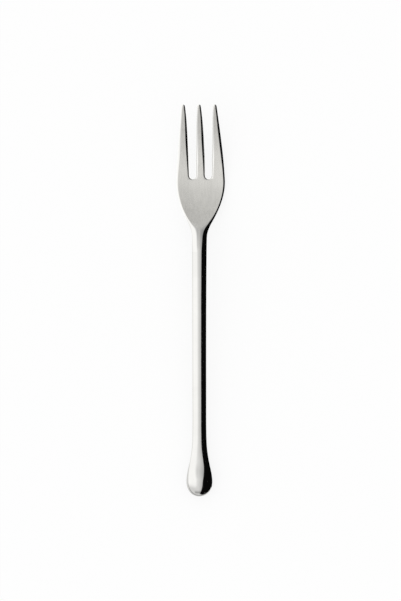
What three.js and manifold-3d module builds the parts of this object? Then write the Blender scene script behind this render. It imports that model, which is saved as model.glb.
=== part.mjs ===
// Three-tined pastry fork, lying tines up on a table.
// A stamped head and a solid handle meet at the neck, on a tang in a blind socket.
// Millimetres. +Y points from the handle to the tine tips, and +Z points up.
// The origin lies on the table, under the middle of the fork.

import * as THREE from 'three';
import { mergeVertices } from 'three/addons/utils/BufferGeometryUtils.js';
import Module from 'manifold-3d';

// Lengths along the fork
const TINE_LENGTH = 30; // tine tips to slot bottoms
const PALM_LENGTH = 24.1; // slot bottoms to the slim neck
const NECK_LENGTH = 5.9; // slim neck, up to the joint
const HANDLE_LENGTH = 100; // joint to the end of the drop
const POINT_LENGTH = 12; // stretch in which a tine narrows to its tip
const SHOULDER_SETBACK = 1.3; // slot bottoms to the widest place of the head
const HEEL_SETBACK = 3; // slot bottoms to the heel, the lowest place of the head
const FILLET_LENGTH = 6.3; // hollow curve from the shoulder's flank into the neck
const THICKENING_LENGTH = 19; // stretch before the joint in which the palm thickens
const WAIST_SETBACK = 58; // joint to the slimmest place of the handle
const SWELL_LENGTH = 16.8; // stretch in which the stem swells into the drop
const DROP_FLANK_LENGTH = 6.8; // steepest place of the swell to the drop's widest place
const DROP_END_LENGTH = 6.2; // the drop's widest place to its end

// Widths across the fork
const TIP_SPAN = 14.4; // over the three tine tips
const TINE_ROOT_SPAN = 19.85; // over the three tines at the slot bottoms
const HEAD_WIDTH = 19.95;
const FLANK_WIDTH = 10; // where the shoulder turns into the neck's fillet
const NECK_WIDTH = 6.1;
const WAIST_WIDTH = 5.72;
const SWELL_WIDTH = 5.94; // stem where it starts to swell
const DROP_FLANK_WIDTH = 8.45;
const DROP_WIDTH = 10.62;

// Tines and the slots between them
const TINE_TIP_WIDTH = 1.5;
const MIDDLE_TINE_WIDTH = 3.05; // behind its point
const MIDDLE_TINE_ROOT_WIDTH = 3.8;
const SLOT_WIDTH = 3.5; // behind the points
const SLOT_ROOT_WIDTH = 2.6;
const SLOT_CORNER_RADIUS = 1;

// Thicknesses
const TIP_THICKNESS = 1.1;
const PALM_THICKNESS = 2;
const NECK_THICKNESS = 4.2;
const SWELL_THICKNESS = 3.7;
const DROP_FLANK_THICKNESS = 3.9;
const DROP_THICKNESS = 6.8;

// Heights of the middle of the metal above the table
const TIP_HEIGHT = 13.5;
const JOINT_HEIGHT = 8.6;

// Slopes, in millimetres for each millimetre along the fork
const TIP_RISE = 0.5; // of the tines at their tips
const TIP_FLARE = 0.115; // of the outer tines' outer edges at their tips
const ROOT_FLARE = 0.05; // of the outer tines' outer edges at the slot bottoms
const TINE_TAPER = 0.12; // of the tines' other edges at their tips
const SLOT_TAPER = 0.03; // of the slots' edges behind the points
const SHOULDER_SLOPE = 0.55; // of the shoulder's flank
const STEM_TAPER = 0.006; // of the stem behind the neck
const SWELL_TAPER = 0.03; // of the stem where it starts to swell
const DROP_FLARE = 0.215; // of the drop's sides at the steepest place of the swell
const DROP_THICKENING = 0.3; // of the drop's thickness at the same place
const HANDLE_FALL = 0.05; // of the handle's middle line at the drop

// Cross-sections are superellipses: oval at exponent 2, a flat bar with round edges at 6
const FLAT_EXPONENT = 6;
const OVAL_EXPONENT = 2;
const DROP_END_EXPONENT = 2.2; // of the drop's end, seen from above
const DROP_PROFILE_EXPONENT = 3.5; // of the drop's end, seen from the side

// Joint and rest faces
const TANG_DIAMETER = 2.2;
const TANG_LENGTH = 10;
const TANG_CLEARANCE = 0.3;
const REST_DEPTH = 0.08; // how far the heel and the drop are ground flat

// Fineness of the surfaces
const RING_POINTS = 24;
const TANG_SIDES = 20;
const TIP_STEPS = 4;
const TINE_STEPS = 12;
const PALM_STEPS = 20;
const STEM_STEPS = 14;
const SWELL_STEPS = 10;
const DROP_STEPS = 8;
const SLOT_STEPS = 12;
const CORNER_STEPS = 5;
const CUT_MARGIN = 5; // how far cutting solids reach past what they cut

// Places along the fork, measured from the tine tips
const tipRadius = TINE_TIP_WIDTH / 2;
const slotPlace = TINE_LENGTH;
const shoulderPlace = slotPlace + SHOULDER_SETBACK;
const heelPlace = slotPlace + HEEL_SETBACK;
const neckPlace = slotPlace + PALM_LENGTH;
const flankPlace = neckPlace - FILLET_LENGTH;
const jointPlace = neckPlace + NECK_LENGTH;
const thickeningPlace = jointPlace - THICKENING_LENGTH;
const waistPlace = jointPlace + WAIST_SETBACK;
const endPlace = jointPlace + HANDLE_LENGTH;
const dropPlace = endPlace - DROP_END_LENGTH;
const dropFlankPlace = dropPlace - DROP_FLANK_LENGTH;
const swellPlace = dropPlace - SWELL_LENGTH;
const outerTipCentre = (TIP_SPAN - TINE_TIP_WIDTH) / 2;

const wasm = await Module();
wasm.setup();

// The y coordinate of a place along the fork.
function yAt(place) {
  return endPlace / 2 - place;
}

// A smooth curve through stations, each given by its place, its value and its slope there.
function curveThrough(stations) {
  return (place) => {
    const next = stations.findIndex((station) => place <= station.place);
    const last = stations.length - 1;
    const to = stations[next < 0 ? last : Math.max(next, 1)];
    const from = stations[stations.indexOf(to) - 1];
    const span = to.place - from.place;
    const u = (place - from.place) / span;
    const rise = u * u * (3 - 2 * u);
    const leave = u * (1 - u) * (1 - u);
    const arrive = u * u * (u - 1);
    return from.value + (to.value - from.value) * rise
      + span * (from.slope * leave + to.slope * arrive);
  };
}

// One station of such a curve, level unless a slope is given.
function station(place, value, slope = 0) {
  return { place, value, slope };
}

// A quarter round: 0 at its pole and 1 where it meets the straight side.
function quarterRound(share, exponent = 2) {
  return (1 - (1 - share) ** exponent) ** (1 / exponent);
}

const sideEdge = curveThrough([
  station(tipRadius, TIP_SPAN / 2, TIP_FLARE),
  station(slotPlace, TINE_ROOT_SPAN / 2, ROOT_FLARE),
  station(shoulderPlace, HEAD_WIDTH / 2),
  station(flankPlace, FLANK_WIDTH / 2, -SHOULDER_SLOPE),
  station(neckPlace, NECK_WIDTH / 2, -STEM_TAPER),
  station(waistPlace, WAIST_WIDTH / 2),
  station(swellPlace, SWELL_WIDTH / 2, SWELL_TAPER),
  station(dropFlankPlace, DROP_FLANK_WIDTH / 2, DROP_FLARE),
  station(dropPlace, DROP_WIDTH / 2),
]);

const thickness = curveThrough([
  station(0, TIP_THICKNESS),
  station(slotPlace, PALM_THICKNESS),
  station(thickeningPlace, PALM_THICKNESS),
  station(jointPlace, NECK_THICKNESS),
  station(swellPlace, SWELL_THICKNESS),
  station(dropFlankPlace, DROP_FLANK_THICKNESS, DROP_THICKENING),
  station(dropPlace, DROP_THICKNESS),
]);

const middleHeight = curveThrough([
  station(0, TIP_HEIGHT, -TIP_RISE),
  station(heelPlace, PALM_THICKNESS / 2 - REST_DEPTH),
  station(jointPlace, JOINT_HEIGHT),
  station(dropPlace, DROP_THICKNESS / 2 - REST_DEPTH, -HANDLE_FALL),
]);

const flatness = curveThrough([
  station(thickeningPlace, FLAT_EXPONENT),
  station(jointPlace, OVAL_EXPONENT),
]);

// Edges of the slot on the +X side: the middle tine's edge and the outer tine's inner edge.
const middleTineEdge = curveThrough([
  station(tipRadius, tipRadius, TINE_TAPER),
  station(POINT_LENGTH, MIDDLE_TINE_WIDTH / 2, SLOT_TAPER),
  station(slotPlace, MIDDLE_TINE_ROOT_WIDTH / 2),
]);

const outerTineEdge = curveThrough([
  station(tipRadius, outerTipCentre - tipRadius, -TINE_TAPER),
  station(POINT_LENGTH, MIDDLE_TINE_WIDTH / 2 + SLOT_WIDTH, -SLOT_TAPER),
  station(slotPlace, MIDDLE_TINE_ROOT_WIDTH / 2 + SLOT_ROOT_WIDTH, -SLOT_TAPER),
]);

// Half sizes, middle height and exponent of the cross-section at a place.
function sectionAt(place) {
  let halfWidth = sideEdge(place);
  let halfThickness = thickness(place) / 2;
  if (place < tipRadius) {
    halfWidth = outerTipCentre + tipRadius * quarterRound(place / tipRadius);
  }
  if (place > dropPlace) {
    const share = (endPlace - place) / DROP_END_LENGTH;
    halfWidth = (DROP_WIDTH / 2) * quarterRound(share, DROP_END_EXPONENT);
    halfThickness = (DROP_THICKNESS / 2) * quarterRound(share, DROP_PROFILE_EXPONENT);
  }
  const fallPastDrop = HANDLE_FALL * Math.max(0, place - dropPlace);
  const height = middleHeight(Math.min(place, dropPlace)) - fallPastDrop;
  const exponent = flatness(THREE.MathUtils.clamp(place, thickeningPlace, jointPlace));
  return { halfWidth, halfThickness, height, exponent };
}

// Signed power, which bends a circle into a superellipse.
function signedPower(value, power) {
  return Math.sign(value) * Math.abs(value) ** power;
}

// The points of one cross-section, from +X up over +Z and round.
function sectionRing(place) {
  const { halfWidth, halfThickness, height, exponent } = sectionAt(place);
  return Array.from({ length: RING_POINTS }, (_, index) => {
    const angle = (2 * Math.PI * index) / RING_POINTS;
    return new THREE.Vector3(
      halfWidth * signedPower(Math.cos(angle), 2 / exponent),
      yAt(place),
      height + halfThickness * signedPower(Math.sin(angle), 2 / exponent),
    );
  });
}

// A closed skin over the cross-sections at the given places, from front to back.
// It closes on the middle of the first section and on the middle line at the closing place.
function loft(places, closingPlace) {
  const points = places.flatMap(sectionRing);
  const [front, back] = [places[0], closingPlace].map((place) => {
    const middle = new THREE.Vector3(0, yAt(place), sectionAt(place).height);
    return points.push(middle) - 1;
  });
  const lastRing = (places.length - 1) * RING_POINTS;
  const triangles = [];
  for (let index = 0; index < RING_POINTS; index += 1) {
    const next = (index + 1) % RING_POINTS;
    triangles.push(front, next, index);
    for (let ring = 0; ring < lastRing; ring += RING_POINTS) {
      const behind = ring + RING_POINTS;
      triangles.push(ring + index, ring + next, behind + next);
      triangles.push(ring + index, behind + next, behind + index);
    }
    triangles.push(back, lastRing + index, lastRing + next);
  }
  const geometry = new THREE.BufferGeometry().setFromPoints(points);
  geometry.setIndex(triangles);
  return geometry;
}

// Evenly spaced places, without the last one.
function evenPlaces(from, to, steps) {
  return Array.from({ length: steps }, (_, index) => from + ((to - from) * index) / steps);
}

// Shares of a round end from its rim, at 1, towards its pole, which is left out.
function roundShares(steps) {
  return Array.from({ length: steps }, (_, index) => 1 - Math.sin((index * Math.PI) / 2 / steps));
}

// A solid that can be joined and cut, from any closed geometry.
function solidFrom(geometry) {
  geometry.deleteAttribute('normal');
  geometry.deleteAttribute('uv');
  const merged = mergeVertices(geometry);
  return new wasm.Manifold(new wasm.Mesh({
    numProp: 3,
    vertProperties: new Float32Array(merged.attributes.position.array),
    triVerts: new Uint32Array(merged.index.array),
  }));
}

// A named mesh of a finished solid.
function meshFrom(solid, name, material) {
  const { vertProperties, triVerts } = solid.getMesh();
  const geometry = new THREE.BufferGeometry();
  geometry.setAttribute('position', new THREE.BufferAttribute(vertProperties, 3));
  geometry.setIndex(new THREE.BufferAttribute(triVerts, 1));
  geometry.computeVertexNormals();
  const mesh = new THREE.Mesh(geometry, material);
  mesh.name = name;
  return mesh;
}

// A quarter turn about a centre in the plan, as pairs of x and place.
function quarterArc(x, place, radius, startAngle, turn) {
  return Array.from({ length: CORNER_STEPS + 1 }, (_, index) => {
    const angle = startAngle + (turn * index * Math.PI) / 2 / CORNER_STEPS;
    return [x + radius * Math.cos(angle), place + radius * Math.sin(angle)];
  });
}

// Cutting solid for one slot. Its mouth also rounds the tips on both sides of it.
function slotCutter(side) {
  const corner = Math.min(SLOT_CORNER_RADIUS, SLOT_ROOT_WIDTH / 2);
  const cornerPlace = slotPlace - corner;
  const outerX = outerTineEdge(cornerPlace) - corner;
  const innerX = middleTineEdge(cornerPlace) + corner;
  const edgePlaces = evenPlaces(tipRadius, cornerPlace, SLOT_STEPS).slice(1);
  const outline = [
    [0, -CUT_MARGIN],
    [outerTipCentre, -CUT_MARGIN],
    ...quarterArc(outerTipCentre, tipRadius, tipRadius, -Math.PI / 2, -1),
    ...edgePlaces.map((place) => [outerTineEdge(place), place]),
    ...quarterArc(outerX, cornerPlace, corner, 0, 1),
    ...quarterArc(innerX, cornerPlace, corner, Math.PI / 2, 1),
    ...edgePlaces.toReversed().map((place) => [middleTineEdge(place), place]),
    ...quarterArc(0, tipRadius, tipRadius, 0, -1),
  ];
  const shape = new THREE.Shape(outline.map(([x, place]) => new THREE.Vector2(side * x, yAt(place))));
  const depth = TIP_HEIGHT + TIP_THICKNESS + 2 * CUT_MARGIN;
  const geometry = new THREE.ExtrudeGeometry(shape, { depth, bevelEnabled: false });
  return solidFrom(geometry.translate(0, 0, -CUT_MARGIN));
}

// Everything below the table, which grinds the rest faces flat.
function tableCutter() {
  const geometry = new THREE.BoxGeometry(
    HEAD_WIDTH + 2 * CUT_MARGIN,
    endPlace + 2 * CUT_MARGIN,
    CUT_MARGIN,
  );
  return solidFrom(geometry.translate(0, 0, -CUT_MARGIN / 2));
}

// A round bar behind the joint, for the tang and for its socket.
// It starts one radius before the joint, so that it joins or cuts cleanly.
function jointBar(diameter, length) {
  const radius = diameter / 2;
  const geometry = new THREE.CylinderGeometry(radius, radius, length + radius, TANG_SIDES);
  const middle = jointPlace + (length - radius) / 2;
  return solidFrom(geometry.translate(0, yAt(middle), JOINT_HEIGHT));
}

function forkHead() {
  const tips = roundShares(TIP_STEPS).map((share) => share * tipRadius).reverse();
  const tines = evenPlaces(tipRadius, slotPlace, TINE_STEPS).slice(1);
  const palm = evenPlaces(slotPlace, jointPlace, PALM_STEPS);
  const body = solidFrom(loft([0, ...tips, ...tines, ...palm, jointPlace], jointPlace));
  const slotted = body.subtract(slotCutter(1)).subtract(slotCutter(-1)).subtract(tableCutter());
  const solid = slotted.add(jointBar(TANG_DIAMETER, TANG_LENGTH));
  const satinSteel = new THREE.MeshStandardMaterial({ color: 0xbcb9b4, roughness: 0.35, metalness: 1 });
  return meshFrom(solid, 'fork_head', satinSteel);
}

function handle() {
  const stem = evenPlaces(jointPlace, swellPlace, STEM_STEPS);
  const swell = evenPlaces(swellPlace, dropPlace, SWELL_STEPS);
  const drop = roundShares(DROP_STEPS).map((share) => endPlace - share * DROP_END_LENGTH);
  const body = solidFrom(loft([...stem, ...swell, ...drop], endPlace));
  const socket = jointBar(TANG_DIAMETER + 2 * TANG_CLEARANCE, TANG_LENGTH + TANG_CLEARANCE);
  const solid = body.subtract(socket).subtract(tableCutter());
  const polishedSteel = new THREE.MeshStandardMaterial({ color: 0xc6c5c3, roughness: 0.12, metalness: 1 });
  return meshFrom(solid, 'handle', polishedSteel);
}

const pastryFork = new THREE.Group();
pastryFork.add(forkHead(), handle());

export default pastryFork;
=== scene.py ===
import math

import bmesh
import bpy
from mathutils import Matrix, Vector
from mathutils.geometry import intersect_point_line


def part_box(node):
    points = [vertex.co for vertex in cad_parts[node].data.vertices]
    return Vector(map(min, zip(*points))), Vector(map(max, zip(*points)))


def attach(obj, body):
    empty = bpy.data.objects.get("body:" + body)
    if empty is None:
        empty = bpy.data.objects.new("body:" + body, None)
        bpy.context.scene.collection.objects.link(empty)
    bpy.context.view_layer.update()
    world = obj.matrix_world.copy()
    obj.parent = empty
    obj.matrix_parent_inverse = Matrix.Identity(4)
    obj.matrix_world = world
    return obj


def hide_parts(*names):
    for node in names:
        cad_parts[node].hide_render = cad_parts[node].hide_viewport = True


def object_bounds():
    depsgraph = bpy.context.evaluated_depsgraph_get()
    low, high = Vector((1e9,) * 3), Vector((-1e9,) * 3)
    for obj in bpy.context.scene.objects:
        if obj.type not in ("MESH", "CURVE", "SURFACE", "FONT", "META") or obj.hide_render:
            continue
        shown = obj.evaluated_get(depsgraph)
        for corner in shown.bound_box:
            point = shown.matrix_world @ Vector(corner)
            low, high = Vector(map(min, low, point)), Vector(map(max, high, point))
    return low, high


# Three-tined pastry fork, lying tines up on a table, in metres and in the frame of its solids.
# A place along the fork is its distance from the tine tips.
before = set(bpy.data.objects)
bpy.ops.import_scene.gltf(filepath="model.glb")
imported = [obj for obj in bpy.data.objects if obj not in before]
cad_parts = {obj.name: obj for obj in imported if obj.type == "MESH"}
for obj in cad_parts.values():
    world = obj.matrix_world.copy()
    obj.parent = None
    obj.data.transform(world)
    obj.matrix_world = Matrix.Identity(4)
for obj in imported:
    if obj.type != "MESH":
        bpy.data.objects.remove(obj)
cad_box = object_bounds()

MM = 0.001

# Lengths along the fork
TINE_LENGTH = 30 * MM
PALM_LENGTH = 24.1 * MM
NECK_LENGTH = 5.9 * MM
HANDLE_LENGTH = 100 * MM
POINT_LENGTH = 12 * MM
SHOULDER_SETBACK = 1.3 * MM
HEEL_SETBACK = 3 * MM
FILLET_LENGTH = 6.3 * MM
THICKENING_LENGTH = 19 * MM
WAIST_SETBACK = 58 * MM
SWELL_LENGTH = 16.8 * MM
DROP_FLANK_LENGTH = 6.8 * MM
DROP_END_LENGTH = 6.2 * MM
SLOT_ROUND_LENGTH = 1.5 * MM  # stretch in which a slot's bottom closes
WIDEST_EDGE_PLACE = 16 * MM  # place on the tines where their rounded edge is widest
FACE_TIP_LENGTH = 2.9 * MM  # stretch behind the flank in which the flat face runs out to a point

# Widths across the fork
TIP_SPAN = 14.4 * MM
TINE_ROOT_SPAN = 19.85 * MM
HEAD_WIDTH = 19.94 * MM  # a hair under the solids', so that the finer curve stays inside their box
FLANK_WIDTH = 10 * MM
NECK_WIDTH = 6.1 * MM
WAIST_WIDTH = 5.72 * MM
SWELL_WIDTH = 5.94 * MM
DROP_FLANK_WIDTH = 8.45 * MM
DROP_WIDTH = 10.62 * MM
TINE_TIP_WIDTH = 1.5 * MM
MIDDLE_TINE_WIDTH = 3.05 * MM
MIDDLE_TINE_ROOT_WIDTH = 3.8 * MM
SLOT_WIDTH = 3.5 * MM
SLOT_ROOT_WIDTH = 2.6 * MM

# Widths of the rounded edge beside the flat face
TIP_EDGE = 0.65 * MM
TINE_EDGE = 1.15 * MM
PALM_EDGE = 0.74 * MM
FLANK_EDGE = 1.4 * MM
FLANK_EDGE_SPREAD = 0.2  # how fast the rounded edge widens on the shoulder's flank
FACE_TIP_SPREAD = 1  # and where the flat face has run out

# Thicknesses, and heights of the middle of the metal above the table
TIP_THICKNESS = 1.1 * MM
PALM_THICKNESS = 2 * MM
NECK_THICKNESS = 4.2 * MM
SWELL_THICKNESS = 3.7 * MM
DROP_FLANK_THICKNESS = 3.9 * MM
DROP_THICKNESS = 6.8 * MM
TIP_HEIGHT = 13.5 * MM
JOINT_HEIGHT = 8.6 * MM
REST_DEPTH = 0.08 * MM
DISH_DEPTH = 0.35 * MM  # how far the palm's sides stand above its middle

# Slopes along the fork
TIP_RISE = 0.5
TIP_FLARE = 0.115
ROOT_FLARE = 0.05
TINE_TAPER = 0.12
SLOT_TAPER = 0.03
SHOULDER_SLOPE = 0.55
STEM_TAPER = 0.006
SWELL_TAPER = 0.03
DROP_FLARE = 0.215
DROP_THICKENING = 0.3
HANDLE_FALL = 0.05

# Exponents of the round ends: 2 is a plain oval, and more is squarer
DROP_END_EXPONENT = 2.2  # of the drop's end, seen from above
DROP_PROFILE_EXPONENT = 3.5  # of the drop's end, seen from the side
SLOT_EXPONENT = 2.2

# Tang and socket
TANG_DIAMETER = 2.2 * MM
TANG_LENGTH = 10 * MM
TANG_CHAMFER = 0.3 * MM
TANG_CLEARANCE = 0.3 * MM

# Fineness of the surfaces
BAND_SHARES = (0, 0.03, 0.1, 0.2, 0.34, 0.5, 0.7, 0.88, 1)  # columns across a rounded edge
POLISH_SHARE = 0.88  # share of a rounded edge that is fully polished
WIDEST_BAND_SHARE = 0.4  # share of a strip's width that the columns of one edge may take up
FACE_STEPS = 6
TIP_STEPS = 6
TINE_STEPS = 44
SLOT_STEPS = 10
PALM_STEPS = 52
RING_POINTS = 96
HANDLE_ROWS = 170
WELD_DISTANCE = 0.0001 * MM
SHARP_ANGLE = math.radians(50)

# Places along the fork
TIP_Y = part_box("fork_head")[1].y
JOINT_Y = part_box("handle")[1].y
TIP_RADIUS = TINE_TIP_WIDTH / 2
OUTER_TIP_X = (TIP_SPAN - TINE_TIP_WIDTH) / 2
SLOT_PLACE = TINE_LENGTH
SLOT_ROUND_PLACE = SLOT_PLACE - SLOT_ROUND_LENGTH
SHOULDER_PLACE = SLOT_PLACE + SHOULDER_SETBACK
HEEL_PLACE = SLOT_PLACE + HEEL_SETBACK
NECK_PLACE = SLOT_PLACE + PALM_LENGTH
FLANK_PLACE = NECK_PLACE - FILLET_LENGTH
JOINT_PLACE = NECK_PLACE + NECK_LENGTH
THICKENING_PLACE = JOINT_PLACE - THICKENING_LENGTH
FACE_TIP_PLACE = FLANK_PLACE + FACE_TIP_LENGTH
WAIST_PLACE = JOINT_PLACE + WAIST_SETBACK
SLOT_REACH = 2 * PALM_EDGE  # how far in front of and behind a slot's round bottom its edge is felt
SLOT_REACH_FRONT = SLOT_ROUND_PLACE - SLOT_REACH
SLOT_REACH_BACK = SLOT_PLACE + SLOT_REACH

# Where a point of a cross-section holds its two heights and its polish, after x and y
TOP, BOTTOM, POLISH = 2, 3, 4


# Shape rules

def curve_through(*stations):
    """A smooth curve through stations, each a place with its value and slope."""
    def value_at(place):
        for start, end in zip(stations, stations[1:]):
            if place <= end[0]:
                break
        span = end[0] - start[0]
        u = (place - start[0]) / span
        rise = u * u * (3 - 2 * u)
        leave = u * (1 - u) ** 2
        arrive = u * u * (u - 1)
        bend = span * (start[2] * leave + end[2] * arrive)
        return start[1] + (end[1] - start[1]) * rise + bend
    return value_at


def quarter_round(share, exponent=2):
    """0 at the pole of a round end, and 1 where it meets the straight side."""
    share = min(max(share, 0), 1)
    return (1 - (1 - share) ** exponent) ** (1 / exponent)


def smooth_step(low, high, value):
    """0 below the low value and 1 above the high one, smooth between them."""
    share = min(max((value - low) / (high - low), 0), 1)
    return share * share * (3 - 2 * share)


def mix(start, end, share):
    """The value at a share of the way from the start to the end."""
    return start + (end - start) * share


side_edge = curve_through(
    (TIP_RADIUS, TIP_SPAN / 2, TIP_FLARE),
    (SLOT_PLACE, TINE_ROOT_SPAN / 2, ROOT_FLARE),
    (SHOULDER_PLACE, HEAD_WIDTH / 2, 0),
    (FLANK_PLACE, FLANK_WIDTH / 2, -SHOULDER_SLOPE),
    (NECK_PLACE, NECK_WIDTH / 2, -STEM_TAPER),
    (WAIST_PLACE, WAIST_WIDTH / 2, 0),
)

thickness = curve_through(
    (0, TIP_THICKNESS, 0),
    (SLOT_PLACE, PALM_THICKNESS, 0),
    (THICKENING_PLACE, PALM_THICKNESS, 0),
    (JOINT_PLACE, NECK_THICKNESS, 0),
)

middle_height = curve_through(
    (0, TIP_HEIGHT, -TIP_RISE),
    (HEEL_PLACE, PALM_THICKNESS / 2 - REST_DEPTH, 0),
    (JOINT_PLACE, JOINT_HEIGHT, 0),
)

middle_tine_edge = curve_through(
    (TIP_RADIUS, TIP_RADIUS, TINE_TAPER),
    (POINT_LENGTH, MIDDLE_TINE_WIDTH / 2, SLOT_TAPER),
    (SLOT_PLACE, MIDDLE_TINE_ROOT_WIDTH / 2, 0),
)

outer_tine_edge = curve_through(
    (TIP_RADIUS, OUTER_TIP_X - TIP_RADIUS, -TINE_TAPER),
    (POINT_LENGTH, MIDDLE_TINE_WIDTH / 2 + SLOT_WIDTH, -SLOT_TAPER),
    (SLOT_PLACE, MIDDLE_TINE_ROOT_WIDTH / 2 + SLOT_ROOT_WIDTH, -SLOT_TAPER),
)

# Width of the rounded edge, which takes up the whole half width where the flat face ends
edge_width = curve_through(
    (0, TIP_EDGE, 0),
    (WIDEST_EDGE_PLACE, TINE_EDGE, 0),
    (SLOT_PLACE, PALM_EDGE, 0),
    (THICKENING_PLACE, PALM_EDGE, 0),
    (FLANK_PLACE, FLANK_EDGE, FLANK_EDGE_SPREAD),
    (FACE_TIP_PLACE, side_edge(FACE_TIP_PLACE), FACE_TIP_SPREAD),
)

# How much of the palm's dish a place has: none at the tine tips and none at the neck
dish_share = curve_through(
    (0, 0, 0),
    (SLOT_PLACE, 1, 0),
    (THICKENING_PLACE, 1, 0),
    (FACE_TIP_PLACE, 0, 0),
)


def outer_edge(place):
    """Half width of the head, with the outer tips rounded."""
    if place < TIP_RADIUS:
        return OUTER_TIP_X + TIP_RADIUS * quarter_round(place / TIP_RADIUS)
    return side_edge(place)


def slot_edges(place):
    """Both edges of the slot on the +X side. Behind its bottom they are one middle line."""
    if place < TIP_RADIUS:
        swing = TIP_RADIUS * quarter_round(place / TIP_RADIUS)
        return swing, OUTER_TIP_X - swing
    in_slot = min(place, SLOT_PLACE)
    inner = middle_tine_edge(in_slot)
    outer = outer_tine_edge(in_slot)
    if place <= SLOT_ROUND_PLACE:
        return inner, outer
    middle = (inner + outer) / 2
    closing = quarter_round((SLOT_PLACE - place) / SLOT_ROUND_LENGTH, SLOT_EXPONENT)
    half = (outer - inner) / 2 * closing
    if place > SLOT_PLACE:
        middle *= side_edge(place) / side_edge(SLOT_PLACE)
    return middle - half, middle + half


def head_places():
    """Places of the cross-sections of the head, closer together where it curves more."""
    quarter = math.pi / 2
    tips = [TIP_RADIUS * (1 - math.cos(quarter * step / TIP_STEPS)) for step in range(TIP_STEPS)]
    tines = [mix(TIP_RADIUS, SLOT_ROUND_PLACE, step / TINE_STEPS) for step in range(TINE_STEPS)]
    bottoms = []
    for step in range(SLOT_STEPS):
        share = math.sin(quarter * step / SLOT_STEPS) ** (2 / SLOT_EXPONENT)
        bottoms.append(SLOT_ROUND_PLACE + SLOT_ROUND_LENGTH * share)
    rims = [SLOT_PLACE + PALM_EDGE * share for share in BAND_SHARES[:-1]]
    palm_start = SLOT_PLACE + PALM_EDGE
    palm = [mix(palm_start, JOINT_PLACE, step / PALM_STEPS) for step in range(PALM_STEPS + 1)]
    return tips + tines + bottoms + rims + palm


def slot_outline():
    """Points of the closed end of the slot on the +X side, from one edge round to the other.

    They lie on the cross-sections, so that top and bottom meet along the edge.
    """
    start = SLOT_ROUND_PLACE - 2 * SLOT_REACH
    places = [place for place in head_places() if start <= place <= SLOT_PLACE]
    inner = [Vector((slot_edges(place)[0], place, 0)) for place in places]
    outer = [Vector((slot_edges(place)[1], place, 0)) for place in places]
    return inner + outer[-2::-1]


def distance_to_line(point, line):
    """Shortest distance from a point to a chain of points."""
    nearest = math.inf
    for start, end in zip(line, line[1:]):
        _, share = intersect_point_line(point, start, end)
        foot = start.lerp(end, min(max(share, 0), 1))
        nearest = min(nearest, (point - foot).length)
    return nearest


slot_line = slot_outline()


def edge_share(x, place, left, right):
    """How far a point is from the nearest edge, as a share of the rounded edge's width."""
    width = edge_width(place) if place < FACE_TIP_PLACE else side_edge(place)
    if place < TIP_RADIUS:
        width = max(min(width, (right - left) / 2), WELD_DISTANCE)
    nearest = outer_edge(place) - abs(x)
    if place < SLOT_REACH_FRONT:
        nearest = min(x - left, right - x)
    elif place < SLOT_REACH_BACK:
        nearest = min(nearest, distance_to_line(Vector((abs(x), place, 0)), slot_line))
    return min(max(nearest / width, 0), 1)


def strip_columns(left, right, left_band, right_band):
    """Places across one tine or its strip of the palm, closer together at both edges."""
    columns = [left + left_band * share for share in BAND_SHARES]
    face_left = left + left_band
    face_right = right - right_band
    columns += [mix(face_left, face_right, step / FACE_STEPS) for step in range(1, FACE_STEPS)]
    columns += [right - right_band * share for share in reversed(BAND_SHARES)]
    return columns


def head_strips(place):
    """The three tines, or the strips of the palm behind them, as lists of x with both edges."""
    slot_inner, slot_outer = slot_edges(place)
    edge = outer_edge(place)
    spread = smooth_step(SLOT_PLACE, HEEL_PLACE, place)
    strips = []
    for left, right in ((-edge, -slot_outer), (-slot_inner, slot_inner), (slot_outer, edge)):
        widest_band = WIDEST_BAND_SHARE * (right - left)
        band = min(edge_width(min(place, FACE_TIP_PLACE)), widest_band)
        inner_band = mix(band, widest_band, spread)
        left_band = band if left == -edge else inner_band
        right_band = band if right == edge else inner_band
        strips.append((left, right, strip_columns(left, right, left_band, right_band)))
    return strips


def head_section(place):
    """Points of one cross-section for each strip: x, y, top z, bottom z and polish."""
    half = thickness(place) / 2 * quarter_round(place / TIP_RADIUS)
    dish = DISH_DEPTH * dish_share(min(place, FACE_TIP_PLACE))
    section = []
    for left, right, columns in head_strips(place):
        points = []
        for x in columns:
            share = edge_share(x, place, left, right)
            middle = middle_height(place) + dish * (x / outer_edge(place)) ** 2
            lift = half * quarter_round(share)
            polish = 1 - smooth_step(POLISH_SHARE, 1, share)
            points.append((x, TIP_Y - place, max(middle + lift, 0), max(middle - lift, 0), polish))
        section.append(points)
    return section


def tang_section(joint_section, radius, setback):
    """The joint's cross-section drawn in to the round tang, at a distance behind the joint."""
    section = []
    for points in joint_section:
        ring = []
        for x, y, top, *_ in points:
            angle = math.atan2(top - JOINT_HEIGHT, x)
            across = radius * math.cos(angle)
            rise = radius * math.sin(angle)
            ring.append((across, y - setback, JOINT_HEIGHT + rise, JOINT_HEIGHT - rise, 1))
        section.append(ring)
    return section


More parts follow.
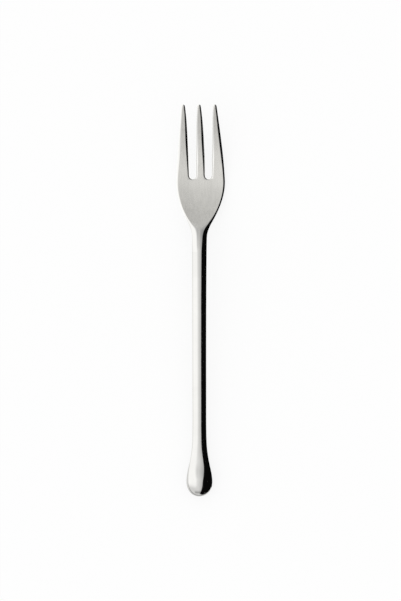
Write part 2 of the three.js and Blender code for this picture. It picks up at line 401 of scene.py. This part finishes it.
def build_fork_head():
    """The head as one mesh: top and bottom of each strip, from the tine tips to the tang's end."""
    sections = [head_section(place) for place in head_places()]
    joint = sections[-1]
    radius = TANG_DIAMETER / 2
    tang_rings = (  # radius, and distance behind the joint
        (radius, 0),
        (radius, TANG_LENGTH - TANG_CHAMFER),
        (radius - TANG_CHAMFER, TANG_LENGTH),
        (0, TANG_LENGTH),
    )
    sections += [tang_section(joint, *ring) for ring in tang_rings]
    shape = bmesh.new()
    polish_layer = shape.verts.layers.float.new("polish")

    def add_row(points, level):
        row = []
        for point in points:
            corner = shape.verts.new((point[0], point[1], point[level]))
            corner[polish_layer] = point[POLISH]
            row.append(corner)
        return row

    for strip in range(len(joint)):
        for level in (TOP, BOTTOM):
            rows = [add_row(section[strip], level) for section in sections]
            for front, back in zip(rows, rows[1:]):
                for column in range(len(front) - 1):
                    corners = [back[column], back[column + 1], front[column + 1], front[column]]
                    shape.faces.new(corners if level == TOP else corners[::-1])
    bmesh.ops.remove_doubles(shape, verts=shape.verts, dist=WELD_DISTANCE)
    bmesh.ops.dissolve_degenerate(shape, edges=shape.edges, dist=WELD_DISTANCE)
    bmesh.ops.recalc_face_normals(shape, faces=shape.faces)
    return finished_mesh("fork_head_form", shape)


def finished_mesh(name, shape):
    """Turns a built shape into a smooth mesh that keeps its sharp corners."""
    mesh = bpy.data.meshes.new(name)
    shape.to_mesh(mesh)
    shape.free()
    mesh.shade_smooth()
    mesh.set_sharp_from_angle(angle=SHARP_ANGLE)
    return mesh


# Node helpers

def feed(tree, socket, value):
    """Links a socket to another one, or sets its own value."""
    if isinstance(value, bpy.types.NodeSocket):
        tree.links.new(value, socket)
    else:
        socket.default_value = value


def add_node(tree, kind, inputs=None, **settings):
    """A node with its settings, and its inputs by name or number."""
    node = tree.nodes.new(kind)
    for name, value in settings.items():
        setattr(node, name, value)
    for name, value in (inputs or {}).items():
        feed(tree, node.inputs[name], value)
    return node


def calc(tree, operation, *values):
    """One step of arithmetic."""
    node = add_node(tree, "ShaderNodeMath", operation=operation)
    for socket, value in zip(node.inputs, values):
        feed(tree, socket, value)
    return node.outputs[0]


def blend(tree, share, start, end, kind="FLOAT"):
    """A mix of two values or two colours."""
    node = add_node(tree, "ShaderNodeMix", data_type=kind)
    first, second, result = {"FLOAT": (2, 3, 0), "RGBA": (6, 7, 2)}[kind]  # the sockets of each kind
    feed(tree, node.inputs[0], share)
    feed(tree, node.inputs[first], start)
    feed(tree, node.inputs[second], end)
    return node.outputs[result]


def rescale(tree, value, low, high, to_low, to_high, kind="SMOOTHSTEP"):
    """A value brought from one range to another, and held at its ends."""
    inputs = {0: value, 1: low, 2: high, 3: to_low, 4: to_high}
    node = add_node(tree, "ShaderNodeMapRange", inputs, interpolation_type=kind)
    return node.outputs[0]


def new_group(name, kind, inputs, outputs):
    """An empty node group with its sockets, as pairs of name and socket kind."""
    tree = bpy.data.node_groups.new(name, kind)
    for in_out, sockets in (("INPUT", inputs), ("OUTPUT", outputs)):
        for socket_name, socket_kind in sockets:
            tree.interface.new_socket(socket_name, in_out=in_out, socket_type="NodeSocket" + socket_kind)
    entry = tree.nodes.new("NodeGroupInput")
    result = tree.nodes.new("NodeGroupOutput")
    return tree, entry.outputs, result.inputs


# Handle, lofted by Geometry Nodes

def build_smooth_stretch():
    """The smooth curve between two stations, as a group."""
    names = ("Place", "Start Place", "Start Value", "Start Slope", "End Place", "End Value", "End Slope")
    tree, given, result = new_group(
        "smooth stretch", "GeometryNodeTree", [(name, "Float") for name in names], [("Value", "Float")])
    span = calc(tree, "SUBTRACT", given["End Place"], given["Start Place"])
    u = calc(tree, "DIVIDE", calc(tree, "SUBTRACT", given["Place"], given["Start Place"]), span)
    left = calc(tree, "SUBTRACT", 1, u)
    square = calc(tree, "MULTIPLY", u, u)
    rise = calc(tree, "MULTIPLY", square, calc(tree, "MULTIPLY_ADD", u, -2, 3))
    leave = calc(tree, "MULTIPLY", u, calc(tree, "MULTIPLY", left, left))
    arrive = calc(tree, "MULTIPLY", calc(tree, "MULTIPLY", square, left), -1)
    bend = calc(tree, "MULTIPLY_ADD", given["End Slope"], arrive,
                calc(tree, "MULTIPLY", given["Start Slope"], leave))
    change = calc(tree, "SUBTRACT", given["End Value"], given["Start Value"])
    level = calc(tree, "MULTIPLY_ADD", change, rise, given["Start Value"])
    feed(tree, result["Value"], calc(tree, "MULTIPLY_ADD", span, bend, level))
    return tree


def smooth_profile(tree, stretch_group, place, stations):
    """A smooth curve through stations, each a place with its value and slope."""
    value = None
    for start, end in zip(stations, stations[1:]):
        stretch = add_node(tree, "GeometryNodeGroup", node_tree=stretch_group)
        for socket, given in zip(stretch.inputs, (place, *start, *end)):
            feed(tree, socket, given)
        if value is None:
            value = stretch.outputs[0]
        else:
            past_start = calc(tree, "GREATER_THAN", place, start[0])
            value = blend(tree, past_start, value, stretch.outputs[0])
    return value


HANDLE_SIZES = {
    "Joint Y": JOINT_Y,
    "Length": HANDLE_LENGTH,
    "Neck Length": NECK_LENGTH,
    "Waist Setback": WAIST_SETBACK,
    "Swell Length": SWELL_LENGTH,
    "Drop Flank Length": DROP_FLANK_LENGTH,
    "Drop End Length": DROP_END_LENGTH,
    "Neck Width": NECK_WIDTH,
    "Waist Width": WAIST_WIDTH,
    "Swell Width": SWELL_WIDTH,
    "Drop Flank Width": DROP_FLANK_WIDTH,
    "Drop Width": DROP_WIDTH,
    "Neck Thickness": NECK_THICKNESS,
    "Swell Thickness": SWELL_THICKNESS,
    "Drop Flank Thickness": DROP_FLANK_THICKNESS,
    "Drop Thickness": DROP_THICKNESS,
    "Joint Height": JOINT_HEIGHT,
    "Drop Height": DROP_THICKNESS / 2 - REST_DEPTH,
    "Stem Taper": STEM_TAPER,
    "Swell Taper": SWELL_TAPER,
    "Drop Flare": DROP_FLARE,
    "Drop Thickening": DROP_THICKENING,
    "Handle Fall": HANDLE_FALL,
    "Drop End Exponent": DROP_END_EXPONENT,
    "Drop Profile Exponent": DROP_PROFILE_EXPONENT,
    "Socket Diameter": TANG_DIAMETER + 2 * TANG_CLEARANCE,
    "Socket Depth": TANG_LENGTH + TANG_CLEARANCE,
}
SOCKET_ROWS = 3  # rows of the loft that line the socket
DROP_END_SHARE = 0.2  # share of the other rows that close the drop


def build_handle_tree():
    """Bends a grid into the handle: one side of the grid runs round it and the other along it."""
    stretch_group = build_smooth_stretch()
    sockets = [(name, "Float") for name in HANDLE_SIZES]
    sockets += [("Ring Points", "Int"), ("Rows", "Int"), ("Material", "Material")]
    tree, size, result = new_group("handle loft", "GeometryNodeTree", sockets, [("Geometry", "Geometry")])
    grid = add_node(tree, "GeometryNodeMeshGrid", {
        "Size X": 1.0,
        "Size Y": 1.0,
        "Vertices X": calc(tree, "ADD", size["Ring Points"], 1),
        "Vertices Y": size["Rows"],
    })
    grid_place = add_node(tree, "ShaderNodeSeparateXYZ")
    feed(tree, grid_place.inputs[0], add_node(tree, "GeometryNodeInputPosition").outputs[0])
    half_grid = 0.5  # the grid is one unit wide and long, with its middle at the origin
    turn_share = calc(tree, "ADD", grid_place.outputs[0], half_grid)
    row_share = calc(tree, "ADD", grid_place.outputs[1], half_grid)
    angle = calc(tree, "MULTIPLY", turn_share, 2 * math.pi)
    cosine = calc(tree, "COSINE", angle)
    sine = calc(tree, "SINE", angle)
    last_row = calc(tree, "SUBTRACT", size["Rows"], 1)
    row = calc(tree, "ROUND", calc(tree, "MULTIPLY", row_share, last_row))

    # Place of each row behind the joint
    body_row = calc(tree, "MAXIMUM", calc(tree, "SUBTRACT", row, SOCKET_ROWS), 0)
    share = calc(tree, "DIVIDE", body_row, calc(tree, "SUBTRACT", last_row, SOCKET_ROWS))
    drop_place = calc(tree, "SUBTRACT", size["Length"], size["Drop End Length"])
    drop_flank_place = calc(tree, "SUBTRACT", drop_place, size["Drop Flank Length"])
    swell_place = calc(tree, "SUBTRACT", drop_place, size["Swell Length"])
    neck_place = calc(tree, "MULTIPLY", size["Neck Length"], -1)
    stem_share = rescale(tree, share, 0.0, 1 - DROP_END_SHARE, 0.0, 1.0, "LINEAR")
    end_angle = rescale(tree, share, 1 - DROP_END_SHARE, 1.0, 0.0, math.pi / 2, "LINEAR")
    before_end = calc(tree, "MULTIPLY", drop_place, stem_share)
    past_drop = calc(tree, "MULTIPLY", size["Drop End Length"], calc(tree, "SINE", end_angle))
    place = calc(tree, "ADD", before_end, past_drop)

    # Sizes of each row
    width = smooth_profile(tree, stretch_group, before_end, [
        (neck_place, size["Neck Width"], calc(tree, "MULTIPLY", size["Stem Taper"], -2)),
        (size["Waist Setback"], size["Waist Width"], 0.0),
        (swell_place, size["Swell Width"], calc(tree, "MULTIPLY", size["Swell Taper"], 2)),
        (drop_flank_place, size["Drop Flank Width"], calc(tree, "MULTIPLY", size["Drop Flare"], 2)),
        (drop_place, size["Drop Width"], 0.0),
    ])
    depth = smooth_profile(tree, stretch_group, before_end, [
        (0.0, size["Neck Thickness"], 0.0),
        (swell_place, size["Swell Thickness"], 0.0),
        (drop_flank_place, size["Drop Flank Thickness"], size["Drop Thickening"]),
        (drop_place, size["Drop Thickness"], 0.0),
    ])
    level = smooth_profile(tree, stretch_group, before_end, [
        (0.0, size["Joint Height"], 0.0),
        (drop_place, size["Drop Height"], calc(tree, "MULTIPLY", size["Handle Fall"], -1)),
    ])
    height = calc(tree, "SUBTRACT", level, calc(tree, "MULTIPLY", size["Handle Fall"], past_drop))
    end_share = calc(tree, "DIVIDE", past_drop, size["Drop End Length"])
    half_sizes = []
    for full, exponent in ((width, size["Drop End Exponent"]), (depth, size["Drop Profile Exponent"])):
        inside = calc(tree, "SUBTRACT", 1, calc(tree, "POWER", end_share, exponent))
        closing = calc(tree, "POWER", calc(tree, "MAXIMUM", inside, 0), calc(tree, "DIVIDE", 1, exponent))
        half_sizes.append(calc(tree, "MULTIPLY", calc(tree, "MULTIPLY", full, 0.5), closing))
    half_width, half_depth = half_sizes

    # The outer skin, oval and flat where the drop rests on the table
    skin_x = calc(tree, "MULTIPLY", half_width, cosine)
    skin_z = calc(tree, "MAXIMUM", calc(tree, "MULTIPLY_ADD", half_depth, sine, height), 0)
    skin_y = calc(tree, "SUBTRACT", size["Joint Y"], place)

    # The socket: middle of its bottom, rim of its bottom and rim of its mouth. Rows are whole
    # numbers, so they are told apart half-way between two of them.
    at_rim = calc(tree, "GREATER_THAN", row, 0.5)
    at_bottom = calc(tree, "LESS_THAN", row, 1.5)
    radius = calc(tree, "MULTIPLY", calc(tree, "MULTIPLY", size["Socket Diameter"], 0.5), at_rim)
    socket_x = calc(tree, "MULTIPLY", radius, cosine)
    socket_z = calc(tree, "MULTIPLY_ADD", radius, sine, size["Joint Height"])
    inward = calc(tree, "MULTIPLY", size["Socket Depth"], at_bottom)
    socket_y = calc(tree, "SUBTRACT", size["Joint Y"], inward)

    on_skin = calc(tree, "GREATER_THAN", row, SOCKET_ROWS - 0.5)
    position = add_node(tree, "ShaderNodeCombineXYZ", {
        0: blend(tree, on_skin, socket_x, skin_x),
        1: blend(tree, on_skin, socket_y, skin_y),
        2: blend(tree, on_skin, socket_z, skin_z),
    })
    bent = add_node(tree, "GeometryNodeSetPosition", {
        "Geometry": grid.outputs["Mesh"],
        "Position": position.outputs[0],
    })
    welded = add_node(tree, "GeometryNodeMergeByDistance", {0: bent.outputs[0], "Distance": WELD_DISTANCE})
    fold = add_node(tree, "GeometryNodeInputMeshEdgeAngle").outputs["Unsigned Angle"]
    creased = add_node(tree, "GeometryNodeStoreNamedAttribute", {
        "Geometry": welded.outputs[0],
        "Name": "sharp_edge",
        "Value": calc(tree, "GREATER_THAN", fold, SHARP_ANGLE),
    }, data_type="BOOLEAN", domain="EDGE")
    smooth = add_node(tree, "GeometryNodeSetShadeSmooth", {0: creased.outputs[0]})
    whole = add_node(tree, "GeometryNodeRealizeInstances", {0: smooth.outputs[0]})
    dressed = add_node(tree, "GeometryNodeSetMaterial", {0: whole.outputs[0], "Material": size["Material"]})
    feed(tree, result["Geometry"], dressed.outputs[0])
    return tree


def new_object(name, mesh, material=None):
    """An object at the origin of the scene, with its material if one is given."""
    piece = bpy.data.objects.new(name, mesh)
    bpy.context.scene.collection.objects.link(piece)
    if material:
        mesh.materials.append(material)
    return piece


def build_handle(material):
    """The handle as a plain mesh, with its tree's inputs set before the first evaluation."""
    piece = new_object("polished_handle", bpy.data.meshes.new("handle_start"))
    tree = build_handle_tree()
    modifier = piece.modifiers.new("handle loft", "NODES")
    modifier.node_group = tree
    values = {**HANDLE_SIZES, "Ring Points": RING_POINTS, "Rows": HANDLE_ROWS, "Material": material}
    for socket in tree.interface.items_tree:
        if socket.in_out == "INPUT":
            modifier[socket.identifier] = values[socket.name]
    evaluated = piece.evaluated_get(bpy.context.evaluated_depsgraph_get())
    mesh = bpy.data.meshes.new_from_object(evaluated)
    mesh.name = "handle_form"
    piece.modifiers.clear()
    piece.data = mesh
    return piece


# Finishes

SATIN_TONE = (0.66, 0.65, 0.617, 1)
SATIN_STREAK_TONE = (0.605, 0.596, 0.565, 1)
SATIN_METALLIC = 0.7  # the rest scatters, as the finest scratches of a satin face do
SATIN_LINES = 9000  # per metre across the fork
SATIN_LINE_LENGTH = 12 * MM
SATIN_MARKS = 90  # per metre
SATIN_MARK_SPREAD = 0.16  # the smaller, the sharper the marks' borders
SATIN_ROUGHNESS = 0.18
SATIN_LINE_ROUGHNESS = 0.1  # what the lines add to it
SATIN_MARK_ROUGHNESS = 0.04  # and what the marks add
SATIN_BUMP = 0.12
POLISHED_TONE = (0.635, 0.63, 0.612, 1)
POLISHED_MARK_TONE = (0.605, 0.6, 0.582, 1)
POLISHED_LINES = 5000
POLISHED_LINE_LENGTH = 30 * MM
POLISHED_MARKS = 70
POLISHED_MARK_SPREAD = 0.18
POLISHED_ROUGHNESS = 0.06
POLISHED_MARK_ROUGHNESS = 0.03
POLISHED_STREAK_ROUGHNESS = 0.03
POLISHED_BUMP = 0.08
BUMP_DISTANCE = 0.02 * MM
STREAK_SCALE = 0.12  # of the streaks' noise beside the lines'
STREAK_RANGE = (0.3, 0.7)  # of that noise, from no streak to a full one


def build_lengthwise_grain():
    """Fine lines along the fork, left by the polishing belt."""
    tree, given, result = new_group("lengthwise grain", "ShaderNodeTree", [
        ("Lines Per Metre", "Float"),
        ("Line Length", "Float"),
    ], [("Lines", "Float"), ("Streaks", "Float")])
    place = add_node(tree, "ShaderNodeTexCoord").outputs["Object"]
    along = calc(tree, "DIVIDE", 1, given["Line Length"])
    stretch = add_node(tree, "ShaderNodeCombineXYZ", {
        0: given["Lines Per Metre"],
        1: along,
        2: given["Lines Per Metre"],
    }).outputs[0]
    fine = add_node(tree, "ShaderNodeVectorMath", {0: place, 1: stretch}, operation="MULTIPLY").outputs[0]
    broad_inputs = {0: fine, "Scale": STREAK_SCALE}
    broad = add_node(tree, "ShaderNodeVectorMath", broad_inputs, operation="SCALE").outputs[0]
    lines = add_node(tree, "ShaderNodeTexNoise", {"Vector": fine, "Scale": 1.0, "Detail": 2.0})
    streaks = add_node(tree, "ShaderNodeTexNoise", {"Vector": broad, "Scale": 1.0, "Detail": 3.0})
    feed(tree, result["Lines"], lines.outputs[0])
    feed(tree, result["Streaks"], rescale(tree, streaks.outputs[0], *STREAK_RANGE, 0.0, 1.0))
    return tree


def build_handling_marks():
    """Faint cloudy marks, left by wiping and handling."""
    tree, given, result = new_group("handling marks", "ShaderNodeTree", [
        ("Marks Per Metre", "Float"),
        ("Spread", "Float"),
    ], [("Marks", "Float")])
    place = add_node(tree, "ShaderNodeTexCoord").outputs["Object"]
    clouds = add_node(tree, "ShaderNodeTexNoise", {
        "Vector": place,
        "Scale": given["Marks Per Metre"],
        "Detail": 4.0,
        "Roughness": 0.6,
        "Distortion": 0.6,
    })
    middle = 0.5  # of the noise's range
    low = calc(tree, "SUBTRACT", middle, given["Spread"])
    high = calc(tree, "ADD", middle, given["Spread"])
    feed(tree, result["Marks"], rescale(tree, clouds.outputs[0], low, high, 0.0, 1.0))
    return tree


def add_grain(tree, grain_group, lines_per_metre, line_length):
    """The lengthwise grain in a material: its lines and its streaks."""
    inputs = {"Lines Per Metre": lines_per_metre, "Line Length": line_length}
    grain = add_node(tree, "ShaderNodeGroup", inputs, node_tree=grain_group)
    return grain.outputs["Lines"], grain.outputs["Streaks"]


def add_marks(tree, marks_group, marks_per_metre, spread):
    """The handling marks in a material."""
    inputs = {"Marks Per Metre": marks_per_metre, "Spread": spread}
    return add_node(tree, "ShaderNodeGroup", inputs, node_tree=marks_group).outputs["Marks"]


def new_steel(name):
    """A metal material with nothing linked yet: its tree and its shader's inputs."""
    material = bpy.data.materials.new(name)
    material.use_nodes = True
    tree = material.node_tree
    shader = tree.nodes["Principled BSDF"].inputs
    shader["Metallic"].default_value = 1.0
    return material, tree, shader


def build_satin_steel(grain_group, marks_group):
    """The head: satin on the flat faces and polished on the rounded edges and the neck."""
    material, tree, shader = new_steel("satin_steel")
    polish = add_node(tree, "ShaderNodeAttribute", attribute_name="polish").outputs["Fac"]
    lines, streaks = add_grain(tree, grain_group, SATIN_LINES, SATIN_LINE_LENGTH)
    marks = add_marks(tree, marks_group, SATIN_MARKS, SATIN_MARK_SPREAD)
    satin = blend(tree, streaks, SATIN_TONE, SATIN_STREAK_TONE, "RGBA")
    feed(tree, shader["Base Color"], blend(tree, polish, satin, POLISHED_TONE, "RGBA"))
    feed(tree, shader["Metallic"], blend(tree, polish, SATIN_METALLIC, 1.0))
    lined_roughness = calc(tree, "MULTIPLY_ADD", lines, SATIN_LINE_ROUGHNESS, SATIN_ROUGHNESS)
    face_roughness = calc(tree, "MULTIPLY_ADD", marks, SATIN_MARK_ROUGHNESS, lined_roughness)
    edge_roughness = calc(tree, "MULTIPLY_ADD", marks, POLISHED_MARK_ROUGHNESS, POLISHED_ROUGHNESS)
    feed(tree, shader["Roughness"], blend(tree, polish, face_roughness, edge_roughness))
    on_face = calc(tree, "SUBTRACT", 1, polish)
    bump = add_node(tree, "ShaderNodeBump", {
        "Strength": SATIN_BUMP,
        "Distance": BUMP_DISTANCE,
        "Height": calc(tree, "MULTIPLY", lines, on_face),
    })
    feed(tree, shader["Normal"], bump.outputs[0])
    return material


def build_polished_steel(grain_group, marks_group):
    """The handle: a mirror polish with the finest lines along it."""
    material, tree, shader = new_steel("polished_steel")
    lines, streaks = add_grain(tree, grain_group, POLISHED_LINES, POLISHED_LINE_LENGTH)
    marks = add_marks(tree, marks_group, POLISHED_MARKS, POLISHED_MARK_SPREAD)
    feed(tree, shader["Base Color"], blend(tree, marks, POLISHED_TONE, POLISHED_MARK_TONE, "RGBA"))
    marked_roughness = calc(tree, "MULTIPLY_ADD", marks, POLISHED_MARK_ROUGHNESS, POLISHED_ROUGHNESS)
    roughness = calc(tree, "MULTIPLY_ADD", streaks, POLISHED_STREAK_ROUGHNESS, marked_roughness)
    feed(tree, shader["Roughness"], roughness)
    bump = add_node(tree, "ShaderNodeBump", {
        "Strength": POLISHED_BUMP,
        "Distance": BUMP_DISTANCE,
        "Height": lines,
    })
    feed(tree, shader["Normal"], bump.outputs[0])
    return material


# Stage, light and camera

FLOOR_HALF_SIZE = 3
FLOOR_GLOW = 0.8  # share of the floor that shines white, while the rest takes the fork's shadow
FLOOR_PAINT = (0.95, 0.95, 0.95, 1)
TENT_RADIUS = 0.3
TENT_HALF_LENGTH = 1
TENT_STEPS = 60
WHITE_PANEL = 1.5
PALE_PANEL = 1.0  # the white panel's strength at its far end
PALE_TILT = (-33, -19)  # degrees of tilt over which it brightens to white
BLACK_PANEL = 0.004
WHITE_EDGE = (-26, -6)  # degrees from the top over which the white panel gives way to the ceiling
LEVEL_TILT = (-22, -8)  # degrees of tilt between which that edge runs level
WHITE_SLANT = (1.3, 0.32)  # how far it turns away for each degree of tilt below and above them
BLACK_EDGE = (21.5, 23.5)  # degrees over which the ceiling gives way to the black panel
BLACK_SLANT = 0.2  # how far that edge turns to the right for each degree of tilt
CEILING_FADE = (1.1, 0.7)  # the ceiling's tone beside the white and the black panel
CEILING_STOPS = (  # degrees of tilt towards the tines, and the ceiling's strength there
    (-75, 0.8),
    (-60, 0.75),
    (-51, 0.42),
    (-44, 0.62),
    (-36, 0.92),
    (-12, 1.0),
    (8, 0.92),
    (22, 0.81),
    (34, 0.8),
    (48, 0.65),
    (70, 0.5),
)
CARD_SPAN = 0.3  # how far out from the fork the cards reach
CARD_HEIGHT = 0.05 * MM
DARK_CARD_X = 4.2 * MM  # left edge of the dark card, along the fork's right side
CORNER_Y = -77 * MM  # place beside the drop behind which the dark card draws back
GREY_CARD_X = 8 * MM  # right edge of the grey card behind the drop
GREY_CARD_Y = -84 * MM  # its edge towards the drop
GREY_CARD = 0.55
WHITE_CARD_X = 4 * MM  # right edge of the white card under the head
WHITE_CARD_Y = 31 * MM  # its edge towards the stem, where the stem's card takes over
STEM_CARD_Y = -66 * MM  # edge of the stem's card towards the drop
STEM_CARD = 1.25
CARDS = (  # name, low and high x, low and high y, and strength
    ("dark_card", DARK_CARD_X, CARD_SPAN, CORNER_Y, CARD_SPAN, BLACK_PANEL),
    ("dark_corner_card", GREY_CARD_X, CARD_SPAN, -CARD_SPAN, CORNER_Y, BLACK_PANEL),
    ("white_card", -CARD_SPAN, WHITE_CARD_X, WHITE_CARD_Y, CARD_SPAN, WHITE_PANEL),
    ("stem_card", -CARD_SPAN, 0, STEM_CARD_Y, WHITE_CARD_Y, STEM_CARD),
    ("grey_card", -CARD_SPAN, GREY_CARD_X, -CARD_SPAN, GREY_CARD_Y, GREY_CARD),
)
VIEW_HEIGHT = 0.2455  # of the picture, at the fork
CAMERA_DISTANCE = 2.5
CAMERA_TILT = math.radians(3.6)  # towards +X
CAMERA_ROLL = math.radians(0.175)
CLIP_RANGE = (0.05, 20)
SENSOR_HEIGHT = 24
FORK_SHIFT = Vector((0.467, 0.15, 0)) * MM  # from the fork's middle to the picture's middle


def new_stage_material(name):
    """An empty material with its output: the tree and the output's surface socket."""
    material = bpy.data.materials.new(name)
    material.use_nodes = True
    tree = material.node_tree
    tree.nodes.clear()
    surface = add_node(tree, "ShaderNodeOutputMaterial").inputs["Surface"]
    return material, tree, surface


def new_stage_sheet(name, corners, faces, material):
    """A sheet that belongs to the stage and not to the fork."""
    mesh = bpy.data.meshes.new(name)
    mesh.from_pydata(corners, [], faces)
    sheet = new_object(name, mesh, material)
    return sheet


def only_in_reflections(sheet):
    """Leaves a sheet to be seen in polished metal alone."""
    sheet.visible_camera = False
    sheet.visible_diffuse = False
    sheet.visible_shadow = False
    sheet.visible_transmission = False


def new_flat_sheet(name, low_x, high_x, low_y, high_y, height, material):
    """A level rectangle at a height above the table."""
    outline = ((low_x, low_y), (high_x, low_y), (high_x, high_y), (low_x, high_y))
    corners = [(x, y, height) for x, y in outline]
    return new_stage_sheet(name, corners, [(0, 1, 2, 3)], material)


def build_floor():
    """White to the eye and in reflections, with the fork's shadow faintly on it."""
    material, tree, surface = new_stage_material("pale_floor")
    rays = add_node(tree, "ShaderNodeLightPath").outputs
    seen = calc(tree, "MAXIMUM", rays["Is Camera Ray"], rays["Is Glossy Ray"])
    paint = add_node(tree, "ShaderNodeBsdfDiffuse", {"Color": FLOOR_PAINT})
    glow = add_node(tree, "ShaderNodeEmission", {"Color": (1, 1, 1, 1), "Strength": 1.0})
    both = add_node(tree, "ShaderNodeMixShader", {
        0: calc(tree, "MULTIPLY", seen, FLOOR_GLOW),
        1: paint.outputs[0],
        2: glow.outputs[0],
    })
    feed(tree, surface, both.outputs[0])
    material.cycles.emission_sampling = "NONE"
    low, high = -FLOOR_HALF_SIZE, FLOOR_HALF_SIZE
    new_flat_sheet("floor", low, high, low, high, 0, material)


def build_ceiling_tone(tree, tilt):
    """Strength of the ceiling, from stops along its tilt."""
    low, high = CEILING_STOPS[0][0], CEILING_STOPS[-1][0]
    share = rescale(tree, tilt, math.radians(low), math.radians(high), 0.0, 1.0, "LINEAR")
    ramp = add_node(tree, "ShaderNodeValToRGB", {0: share})
    stops = ramp.color_ramp.elements
    for degrees, strength in CEILING_STOPS:
        place = (degrees - low) / (high - low)
        stop = {low: stops[0], high: stops[-1]}.get(degrees) or stops.new(place)
        stop.color = (strength, strength, strength, 1)
    return ramp.outputs[0]


def build_tent_material():
    """A white panel on the left, a grey ceiling and a black panel on the right."""
    material, tree, surface = new_stage_material("tent_panels")
    place = add_node(tree, "ShaderNodeSeparateXYZ")
    feed(tree, place.inputs[0], add_node(tree, "ShaderNodeTexCoord").outputs["Object"])
    x, y, z = place.outputs
    turn = calc(tree, "ARCTAN2", x, z)
    tilt = calc(tree, "ARCTAN2", y, TENT_RADIUS)
    low, high = map(math.radians, LEVEL_TILT)
    below_level = calc(tree, "MAXIMUM", calc(tree, "SUBTRACT", low, tilt), 0)
    above_level = calc(tree, "MAXIMUM", calc(tree, "SUBTRACT", tilt, high), 0)
    white_edge = calc(tree, "MULTIPLY_ADD", below_level, WHITE_SLANT[0], turn)
    white_edge = calc(tree, "MULTIPLY_ADD", above_level, WHITE_SLANT[1], white_edge)
    black_edge = calc(tree, "MULTIPLY_ADD", tilt, -BLACK_SLANT, turn)
    on_white = rescale(tree, white_edge, *map(math.radians, WHITE_EDGE), 1.0, 0.0)
    on_black = rescale(tree, black_edge, *map(math.radians, BLACK_EDGE), 0.0, 1.0)
    fade_ends = math.radians(WHITE_EDGE[1]), math.radians(BLACK_EDGE[0])
    fade = rescale(tree, turn, *fade_ends, *CEILING_FADE, "LINEAR")
    ceiling = calc(tree, "MULTIPLY", build_ceiling_tone(tree, tilt), fade)
    panel = rescale(tree, tilt, *map(math.radians, PALE_TILT), PALE_PANEL, WHITE_PANEL)
    lit = blend(tree, on_white, ceiling, panel)
    glow = add_node(tree, "ShaderNodeEmission", {"Strength": blend(tree, on_black, lit, BLACK_PANEL)})
    feed(tree, surface, glow.outputs[0])
    material.cycles.emission_sampling = "NONE"
    return material


def build_tent():
    """A half round tent over the fork."""
    corners = []
    for step in range(TENT_STEPS + 1):
        turn = mix(-math.pi / 2, math.pi / 2, step / TENT_STEPS)
        for y in (-TENT_HALF_LENGTH, TENT_HALF_LENGTH):
            corners.append((TENT_RADIUS * math.sin(turn), y, TENT_RADIUS * math.cos(turn)))
    faces = [(2 * step, 2 * step + 1, 2 * step + 3, 2 * step + 2) for step in range(TENT_STEPS)]
    only_in_reflections(new_stage_sheet("light_tent", corners, faces, build_tent_material()))


def build_card(name, low_x, high_x, low_y, high_y, strength):
    """A card on the floor that only the fork's edges reflect."""
    material, tree, surface = new_stage_material(name)
    feed(tree, surface, add_node(tree, "ShaderNodeEmission", {"Strength": strength}).outputs[0])
    material.cycles.emission_sampling = "NONE"
    only_in_reflections(new_flat_sheet(name, low_x, high_x, low_y, high_y, CARD_HEIGHT, material))


def build_world():
    """An even white surround."""
    world = bpy.data.worlds.new("white_surround")
    bpy.context.scene.world = world
    world.use_nodes = True
    background = world.node_tree.nodes["Background"].inputs
    background["Color"].default_value = (1, 1, 1, 1)
    background["Strength"].default_value = 1.0


def build_camera():
    """A long lens almost straight above the fork."""
    data = bpy.data.cameras.new("camera")
    data.sensor_fit = "VERTICAL"
    data.sensor_height = SENSOR_HEIGHT
    data.lens = SENSOR_HEIGHT * CAMERA_DISTANCE / VIEW_HEIGHT
    data.clip_start, data.clip_end = CLIP_RANGE
    camera = bpy.data.objects.new("camera", data)
    bpy.context.scene.collection.objects.link(camera)
    fork_middle = (cad_box[0] + cad_box[1]) / 2
    turn = Matrix.Rotation(CAMERA_TILT, 4, "Y") @ Matrix.Rotation(CAMERA_ROLL, 4, "Z")
    aim = fork_middle + turn.to_3x3() @ FORK_SHIFT
    back = turn.to_3x3() @ Vector((0, 0, CAMERA_DISTANCE))
    camera.matrix_world = Matrix.Translation(aim + back) @ turn
    bpy.context.scene.camera = camera


bpy.context.scene.view_settings.view_transform = "Standard"
build_world()
build_floor()
build_tent()
for card in CARDS:
    build_card(*card)
build_camera()

grain_group = build_lengthwise_grain()
marks_group = build_handling_marks()
satin_steel = build_satin_steel(grain_group, marks_group)
polished_steel = build_polished_steel(grain_group, marks_group)

fork_head = new_object("satin_fork_head", build_fork_head(), satin_steel)
handle = build_handle(polished_steel)

for piece, node, slot in (
    (fork_head, "fork_head", "satin_steel"),
    (handle, "handle", "polished_steel"),
):
    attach(piece, "root")
    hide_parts(node)
